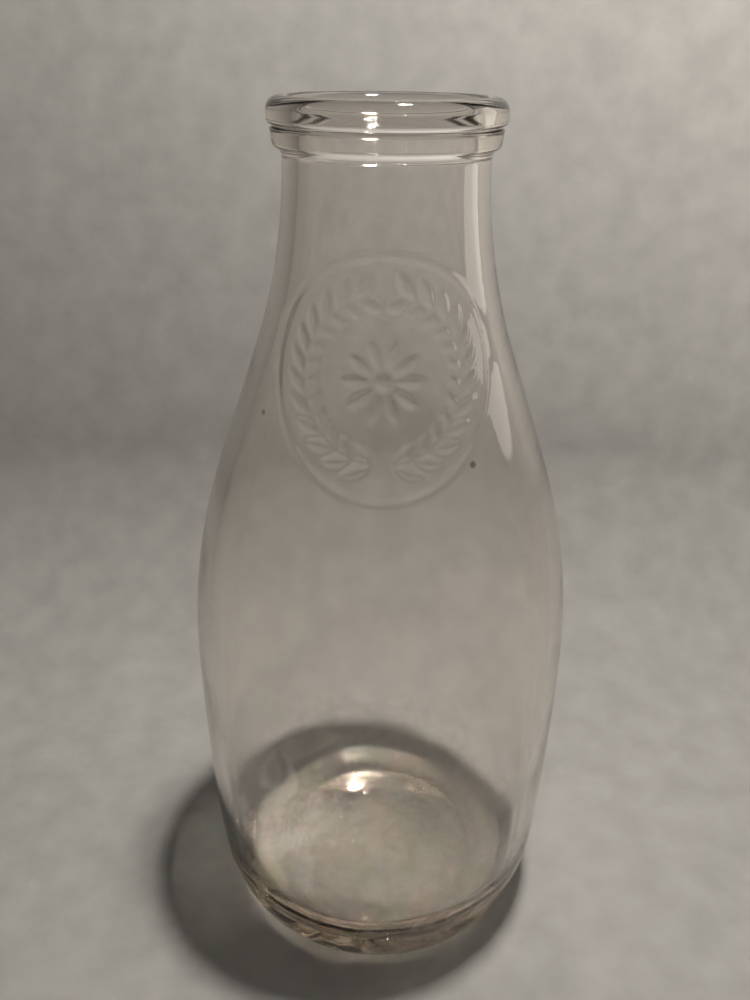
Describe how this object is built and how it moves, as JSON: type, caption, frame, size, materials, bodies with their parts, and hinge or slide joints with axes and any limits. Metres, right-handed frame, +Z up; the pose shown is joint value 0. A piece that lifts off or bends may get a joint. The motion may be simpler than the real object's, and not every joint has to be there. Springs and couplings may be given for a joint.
{
  "type": "milk bottle",
  "caption": "Round clear glass milk bottle with a swelling body, sloped shoulder, long neck and a beaded lip with an inner step for a paper disc cap; holds and pours milk.",
  "frame": {"origin": "centre of the base, on the plane that the bottle stands on", "axes": "+Z up along the bottle's axis, out of the mouth; the bottle is round, so X and Y are free"},
  "size_m": [0.1, 0.1, 0.221],
  "materials": {
    "glass": "clear flint glass, fire-polished, lightly hazed by use"
  },
  "bodies": {
    "root": {"bottle": "glass"}
  },
  "joints": []
}
